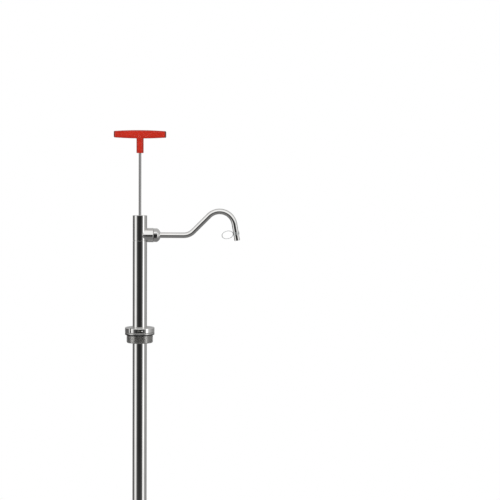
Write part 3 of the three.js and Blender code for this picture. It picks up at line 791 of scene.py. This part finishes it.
# a pipe that swells from its root to the shoulder, then a thread; it is saddled on the barrel
def buildStub():
    s = outletSettings
    high = corners("outlet_stub")[1]
    root, radius, shoulder = s["rootRadius"], high.y, s["shoulder"]
    midway = (s["swellStart"] + s["swellEnd"]) / 2
    pipe = turnedShape([(0, 4), (root, 4), (root, s["swellStart"], 8),
                        ((root + radius) / 2 + s["swellRise"], midway, 12), (radius, s["swellEnd"], 12),
                        (radius, shoulder, 1.4), (0, shoulder)], closed=False)
    thread = threadShape(s["threadRadius"], s["threadPitch"], shoulder - 2, high.x + 1, s["threadSteps"])
    crest, chamfer = s["threadRadius"] + 0.05, s["threadChamfer"]
    envelope = turnedShape([(0, 10), (crest, 10), (crest, high.x - chamfer),
                            (s["threadRadius"] - chamfer, high.x), (0, high.x)], closed=False)
    trimmed = combined(thread, "INTERSECT", envelope)
    saddle = rodShape(tubeRadius + 0.1, -40, 40, steps=barrelSettings["steps"])
    moveShape(saddle, Matrix.Rotation(math.pi / 2, 4, "Y"))
    port = turnedShape([(0, 0), (s["portRadius"], 0), (s["portRadius"], high.x - 0.5),
                        (s["portRadius"] + 1, high.x + 0.5), (0, high.x + 0.5)], closed=False)
    stub = combined(combined(pipe, "UNION", trimmed), "DIFFERENCE", saddle, port)
    makePiece("outletStub", alongOutlet(stub), "outlet_stub", polishedOut)


def buildUnionNut():
    s = outletSettings
    corner = s["nutFlats"] / math.sqrt(3)
    start, end = nutLow.x, nutHigh.x
    nose = [(radius, end - back, 3) for back, radius in s["nose"][:-1]]
    envelope = turnedShape([(0, start), (corner - 1.8, start), (corner, start + 1.0), *nose,
                            (s["nose"][-1][1], end, 0.4), (0, end)], closed=False, arcSteps=6)
    worn = wornHexShape(s["nutFlats"], s["nutCrown"], s["nutSharpness"], start, end)
    cornerUp = moveShape(worn, Matrix.Rotation(s["nutTurn"], 4, "Z"))
    hexagon = combined(cornerUp, "INTERSECT", envelope)
    thread = threadShape(s["threadRadius"] + clearance, s["threadPitch"], start - 2, s["threadEnd"],
                         s["threadSteps"])
    mouth = turnedShape([(0, start - 1), (s["threadRadius"] + 1.3, start - 1),
                         (s["threadRadius"] - 0.6, start + 0.9), (0, start + 0.9)], closed=False)
    chamber = rodShape(s["sealBore"], s["threadEnd"] - 1, s["shoulderInner"])
    hole = turnedShape([(0, start + 2), (s["pipeHole"], start + 2), (s["pipeHole"], end - 0.5),
                        (s["pipeMouth"], end + 0.6), (0, end + 0.6)], closed=False)
    nut = combined(hexagon, "DIFFERENCE", thread, mouth, chamber, hole)
    makePiece("unionNut", alongOutlet(softened(nut, s["nutEdge"], 2, 40)), "union_nut", polishedOut)


buildStub()
buildBead()
buildUnionNut()
print("outlet built")


spoutSettings = {
    "radius": 6.25, "bore": 5.25, "bendStart": 98, "bendRadius": 30, "rise": 45, "crest": 53.9,
    "crestRadius": 33.6, "drop": -80, "tip": -11.1, "ringSteps": 40, "bendSteps": 16, "crestSteps": 44,
}


# pipe bending: the pipe's open end, a ring of edges, is pushed ahead or swung about a bend's centre
def pushAhead(bm, ring, step):
    made = bmesh.ops.extrude_edge_only(bm, edges=ring)["geom"]
    verts = [g for g in made if isinstance(g, bmesh.types.BMVert)]
    bmesh.ops.translate(bm, verts=verts, vec=(step.x, 0, step.y))
    fresh = set(verts)
    return [g for g in made if isinstance(g, bmesh.types.BMEdge) and fresh.issuperset(g.verts)]


def swingRound(bm, ring, hub, turn, steps):
    verts = list({v for e in ring for v in e.verts})
    made = bmesh.ops.spin(bm, geom=verts + ring, cent=(hub.x, 0, hub.y), axis=(0, -1, 0),
                          angle=turn, steps=steps)["geom_last"]
    return [g for g in made if isinstance(g, bmesh.types.BMEdge)]


# unit step along a heading in the spout's plane
def along(heading):
    return Vector((math.cos(heading), math.sin(heading)))


# level, up, over the crest and down; solidify gives the pipe its wall
def buildSpout():
    s = spoutSettings
    rise, drop = math.radians(s["rise"]), math.radians(s["drop"])
    start = corners("spout")[0].x
    bm = bmesh.new()
    made = bmesh.ops.create_circle(bm, segments=s["ringSteps"], radius=s["radius"])
    moveShape(bm, Matrix.Translation((start, 0, 0)) @ Matrix.Rotation(math.pi / 2, 4, "Y"))
    ring = list({e for v in made["verts"] for e in v.link_edges})
    ring = pushAhead(bm, ring, Vector((s["bendStart"] - start, 0)))
    hub = Vector((s["bendStart"], s["bendRadius"]))
    ring = swingRound(bm, ring, hub, rise, s["bendSteps"])
    place = hub - along(rise + math.pi / 2) * s["bendRadius"]
    crestRise = s["crestRadius"] * (1 - math.cos(rise))
    climb = along(rise) * (s["crest"] - crestRise - place.y) / math.sin(rise)
    ring = pushAhead(bm, ring, climb)
    place += climb
    hub = place + along(rise - math.pi / 2) * s["crestRadius"]
    ring = swingRound(bm, ring, hub, drop - rise, s["crestSteps"])
    place = hub + along(drop + math.pi / 2) * s["crestRadius"]
    fall = along(drop) * (s["tip"] - place.y) / math.sin(drop)
    pushAhead(bm, ring, fall)
    bmesh.ops.remove_doubles(bm, verts=bm.verts, dist=mergeGap)
    bmesh.ops.recalc_face_normals(bm, faces=bm.faces)
    sample = min(bm.faces, key=lambda f: f.calc_center_median().x)
    middle = sample.calc_center_median()
    if sample.normal.dot(Vector((0, middle.y, middle.z))) < 0:
        bmesh.ops.reverse_faces(bm, faces=bm.faces)
    bmesh.ops.solidify(bm, geom=bm.faces[:], thickness=s["radius"] - s["bore"])
    bmesh.ops.recalc_face_normals(bm, faces=bm.faces)
    moveShape(bm, Matrix.Translation((0, 0, outletHeight)))
    makePiece("swanNeckSpout", softened(bm, 0.2, 2, 60), "spout", polishedPlain)
    return place + fall, drop


tetherSettings = {
    "fromTip": 16.2, "bandHalf": 3.5, "bandWall": 1.1, "loopRadius": 8.5, "wire": 0.6, "stretch": 1.5,
    "standOff": 0.2, "tilt": -4,
}


# a band round the spout with an oval loop on its inner side
def buildTether(tip, drop):
    s = tetherSettings
    spoutRadius = spoutSettings["radius"]
    bandInner, bandHalf = spoutRadius + clearance, s["bandHalf"]
    band = ringShape(bandInner, spoutRadius + s["bandWall"], -bandHalf, bandHalf, 0.4, smallSteps)
    loop = torusShape(s["loopRadius"], s["wire"], 0)
    moveShape(loop, Matrix.Rotation(math.pi / 2, 4, "X") @ Matrix.Diagonal((s["stretch"], 1, 1, 1)))
    reach = s["loopRadius"] * s["stretch"] + spoutRadius + s["standOff"]
    tilt = Matrix.Rotation(math.radians(s["tilt"]), 4, "Y")
    moveShape(loop, Matrix.Translation((-reach, 0, 0)) @ tilt)
    hole = rodShape(bandInner, -12, 12)
    tether = combined(combined(band, "UNION", loop), "DIFFERENCE", hole)
    middle = tip - along(drop) * s["fromTip"]
    place = Matrix.Translation((middle.x, 0, outletHeight + middle.y))
    moveShape(tether, place @ Matrix.Rotation(-(math.pi / 2 + drop), 4, "Y"))
    makePiece("tetherLoop", tether, "tether_loop", nylon, 40)


buildTether(*buildSpout())
print("spout built")


adapterSettings = {
    "threadPitch": 2.309, "threadRadius": 29.8, "flangeBottom": 2, "core": 25, "coreTop": -4,
    "runIn": 1.8, "relief": 1.5, "reliefSpan": (-1.6, -0.2),
    "groove": 19.5, "grooveBottom": -1, "grooveTop": 2.4, "edge": 0.8,
}


# a flange on a threaded skirt, with a groove for the seal ring in its bore
def buildAdapter():
    s = adapterSettings
    low, high = corners("bung_adapter")
    slide = tubeRadius + clearance
    flange = turnedShape([(slide, s["flangeBottom"]), (high.x, s["flangeBottom"], 0.3),
                          (high.x, high.z, s["edge"]), (slide, high.z, 0.4)])
    radius, pitch, runIn = s["threadRadius"], s["threadPitch"], s["runIn"]
    threadTop = s["flangeBottom"] + 0.5
    thread = threadShape(radius, pitch, low.z - pitch, threadTop, fineSteps)
    crest, relief, top = radius + 0.05, radius - s["relief"], threadTop - 0.1
    reliefStart, reliefEnd = s["reliefSpan"]
    envelope = turnedShape([(0, low.z), (radius - runIn, low.z), (crest, low.z + runIn),
                            (crest, reliefStart), (relief, reliefEnd), (relief, top), (0, top)],
                           closed=False)
    body = combined(combined(thread, "INTERSECT", envelope), "UNION", flange)
    bore = turnedShape([(0, low.z - 1), (s["core"], low.z - 1), (s["core"], s["coreTop"], 1.5),
                        (slide, s["coreTop"], 0.3), (slide, s["grooveBottom"]),
                        (s["groove"], s["grooveBottom"]), (s["groove"], s["grooveTop"]),
                        (slide, s["grooveTop"]), (slide, high.z + 1), (0, high.z + 1)], closed=False)
    makePiece("bungAdapter", combined(body, "DIFFERENCE", bore), "bung_adapter", turnedUp)


collarSettings = {
    "splitWidth": 3, "splitAngle": -124, "screwOffset": 25, "screwHole": 2.3, "pocket": 3.8,
    "pocketFloor": 6, "edge": 0.9,
}
screwSettings = {
    "head": 3.5, "seat": 7.3, "end": 11.3, "tip": -11, "shank": 2.0, "pitch": 0.7, "threadTop": 2,
    "threadSteps": 32, "keyFlats": 3, "keyDepth": 2.2,
}


# a ring split on one side and drawn together by a screw across the split
def buildCollar():
    s = collarSettings
    low, high = corners("clamp_collar")
    middle = (low.z + high.z) / 2
    turnOnto = Matrix.Rotation(math.radians(s["splitAngle"]), 4, "Z")
    slide = tubeRadius + clearance
    outer = corners("bung_adapter")[1].x
    lieAlongY = Matrix.Translation((s["screwOffset"], 0, middle)) @ Matrix.Rotation(-math.pi / 2, 4, "X")
    blank = turnedShape([(slide, low.z, 0.4), (outer, low.z, s["edge"]), (outer, high.z, s["edge"] * 1.4),
                         (slide, high.z, 0.6)], steps=barrelSettings["steps"], arcSteps=6)
    split = boxShape(30, s["splitWidth"], 30, (outer, 0, middle))
    hole = moveShape(rodShape(s["screwHole"], -15, 15), lieAlongY)
    pocket = moveShape(rodShape(s["pocket"], s["pocketFloor"], 30), lieAlongY)
    collar = softened(combined(blank, "DIFFERENCE", split, hole, pocket), 0.3, 3, 45)
    makePiece("clampCollar", moveShape(collar, turnOnto), "clamp_collar", polishedUp)
    makePiece("clampScrew", moveShape(screwShape(), turnOnto @ lieAlongY), "clamp_screw", turnedPlain)
    head, seat = screwSettings["head"], screwSettings["seat"]
    washer = ringShape(s["screwHole"], head, s["pocketFloor"] + clearance, seat - clearance, 0.12)
    makePiece("clampWasher", moveShape(washer, turnOnto @ lieAlongY), "clamp_washer", turnedPlain)


# a socket-head screw
def screwShape():
    s = screwSettings
    shank, head, seat, end = s["shank"], s["head"], s["seat"], s["end"]
    thread = threadShape(shank, s["pitch"], s["tip"], s["threadTop"], s["threadSteps"])
    blank = turnedShape([(0, 1), (shank, 1), (shank, seat), (head, seat, 0.15), (head, end, 0.45),
                         (0, end)], closed=False)
    socket = hexShape(s["keyFlats"], end - s["keyDepth"], end + 1)
    return combined(combined(blank, "UNION", thread), "DIFFERENCE", socket)


buildAdapter()
buildCollar()
print("bung fitting built")


cameraSettings = {
    "lens": 94.5, "sensor": 36, "place": (0.2465, -2.934, 0.3487), "tilt": 3.07, "roll": 0.35,
}


def setCamera():
    s = cameraSettings
    data = bpy.data.cameras.new("camera")
    data.lens = s["lens"]
    data.sensor_width = s["sensor"]
    camera = bpy.data.objects.new("camera", data)
    camera.location = s["place"]
    level = Matrix.Rotation(math.radians(90 - s["tilt"]), 4, "X")
    camera.rotation_euler = (level @ Matrix.Rotation(math.radians(s["roll"]), 4, "Z")).to_euler()
    bpy.context.scene.collection.objects.link(camera)
    bpy.context.scene.camera = camera


floorSettings = {
    "height": -0.86, "radius": 1.0, "steps": 96, "color": (0.86, 0.86, 0.86), "roughness": 0.7,
    "fade": (0.25, 0.95), "glow": 0.5,
}


# pale round floor at the level of the drum's own floor, fading into the white room
def setFloor():
    s = floorSettings
    bm = bmesh.new()
    bmesh.ops.create_circle(bm, cap_ends=True, segments=s["steps"], radius=s["radius"])
    moveShape(bm, Matrix.Translation((0, 0, s["height"])))
    mesh = bpy.data.meshes.new("floor")
    bm.to_mesh(mesh)
    bm.free()
    finish, shader = newFinish("paleFloor", s["color"], s["roughness"])
    place = addNode(finish, "TexCoord").outputs["Object"]
    level = addNode(finish, "VectorMath", {0: place, 1: (1, 1, 0)}, operation="MULTIPLY").outputs[0]
    fromMiddle = addNode(finish, "VectorMath", {0: level}, operation="LENGTH").outputs["Value"]
    fade = addRange(finish, fromMiddle, s["glow"], 1.0, *s["fade"])
    setInput(finish, shader, "Emission Strength", fade)
    setInput(finish, shader, "Emission Color", (1, 1, 1, 1))
    setInput(finish, shader, "Base Color", addRamp(finish, fade, (0.0, s["color"]), (1.0, (0, 0, 0))))
    setInput(finish, shader, "Specular IOR Level", 0.1)
    mesh.materials.append(finish)
    floor = bpy.data.objects.new("floor", mesh)
    bpy.context.scene.collection.objects.link(floor)
    floor.visible_glossy = False


# brightness round the room by bearing in degrees, 0 towards the viewer and 90 to the right: tall panels
# at both sides and a dark side behind the viewer; then how it changes overhead and below
roomSettings = {
    "ring": [(-180, 0.30), (-118, 0.14), (-92, 0.17), (-79, 1.3), (-55, 1.15), (-41, 0.14), (-24, 0.045),
             (0, 0.025), (20, 0.035), (36, 0.09), (53, 0.36), (59, 2.1), (69, 2.0), (76, 0.7), (120, 0.36),
             (180, 0.30)],
    "overheadRise": (0.03, 0.24), "overhead": 1.25, "overheadBack": 0.62, "backRise": (-0.35, 0.0),
    "underRise": (-0.20, -0.60), "under": 0.26, "diffuseShare": 0.22,
}


# a studio with two tall bright panels and a darker side towards the viewer, for the steel to mirror; it
# looks white past the part, and lights matt finishes only in part
def setRoom():
    s = roomSettings
    room = bpy.data.worlds.new("studio")
    bpy.context.scene.world = room
    room.use_nodes = True
    room.node_tree.nodes.clear()
    place = addNode(room, "TexCoord").outputs["Generated"]
    split = addNode(room, "SeparateXYZ", {0: place}).outputs
    bearing = addMath(room, "ARCTAN2", split["X"], addMath(room, "MULTIPLY", split["Y"], -1.0))
    roundShare = addRange(room, bearing, 0.0, 1.0, -math.pi, math.pi)
    stops = [(0.5 + angle / 360, (grey, grey, grey)) for angle, grey in s["ring"]]
    sides = addRamp(room, roundShare, *stops)
    ceiling = addRange(room, split["Y"], s["overhead"], s["overheadBack"], *s["backRise"])
    upShare = addRange(room, split["Z"], 0.0, 1.0, *s["overheadRise"])
    downShare = addRange(room, split["Z"], 0.0, 1.0, *s["underRise"])
    level = mixed(room, downShare, mixed(room, upShare, sides, ceiling), s["under"])
    path = addNode(room, "LightPath").outputs
    strength = addRange(room, path["Is Diffuse Ray"], 1.0, s["diffuseShare"], 0.0, 1.0)
    lit = addNode(room, "Background", {"Color": level, "Strength": strength}).outputs["Background"]
    seen = addNode(room, "Background", {"Color": (1, 1, 1, 1)}).outputs["Background"]
    either = addNode(room, "MixShader", {0: path["Is Camera Ray"], 1: lit, 2: seen}).outputs["Shader"]
    addNode(room, "OutputWorld", {"Surface": either})


# a grey level between two others
def mixed(room, share, first, second):
    node = addNode(room, "Mix", {0: share}, data_type="FLOAT")
    setInput(room, node, 2, first)
    setInput(room, node, 3, second)
    return node.outputs[0]


# energy, size and place of each softbox; both face the part above its bung fitting
softboxes = {
    "keySoftbox": (46, (1.2, 1.2), (-0.3, -3.0, 0.3)),
    "fillSoftbox": (12, (1.0, 1.2), (1.7, -2.1, 0.4)),
}
lightTarget = Vector((0, 0, 0.3))


# the softboxes light matt surfaces only, because the steel mirrors the room's panels instead
def addSoftbox(name, energy, size, place):
    data = bpy.data.lights.new(name, "AREA")
    data.shape = "RECTANGLE"
    data.size, data.size_y = size
    data.energy = energy
    light = bpy.data.objects.new(name, data)
    light.location = place
    light.rotation_euler = (lightTarget - Vector(place)).to_track_quat("-Z", "Y").to_euler()
    light.visible_glossy = False
    light.visible_transmission = False
    bpy.context.scene.collection.objects.link(light)


setCamera()
setFloor()
setRoom()
for name, (energy, size, place) in softboxes.items():
    addSoftbox(name, energy, size, place)
bpy.context.scene.view_settings.view_transform = "Standard"
print("stage set")
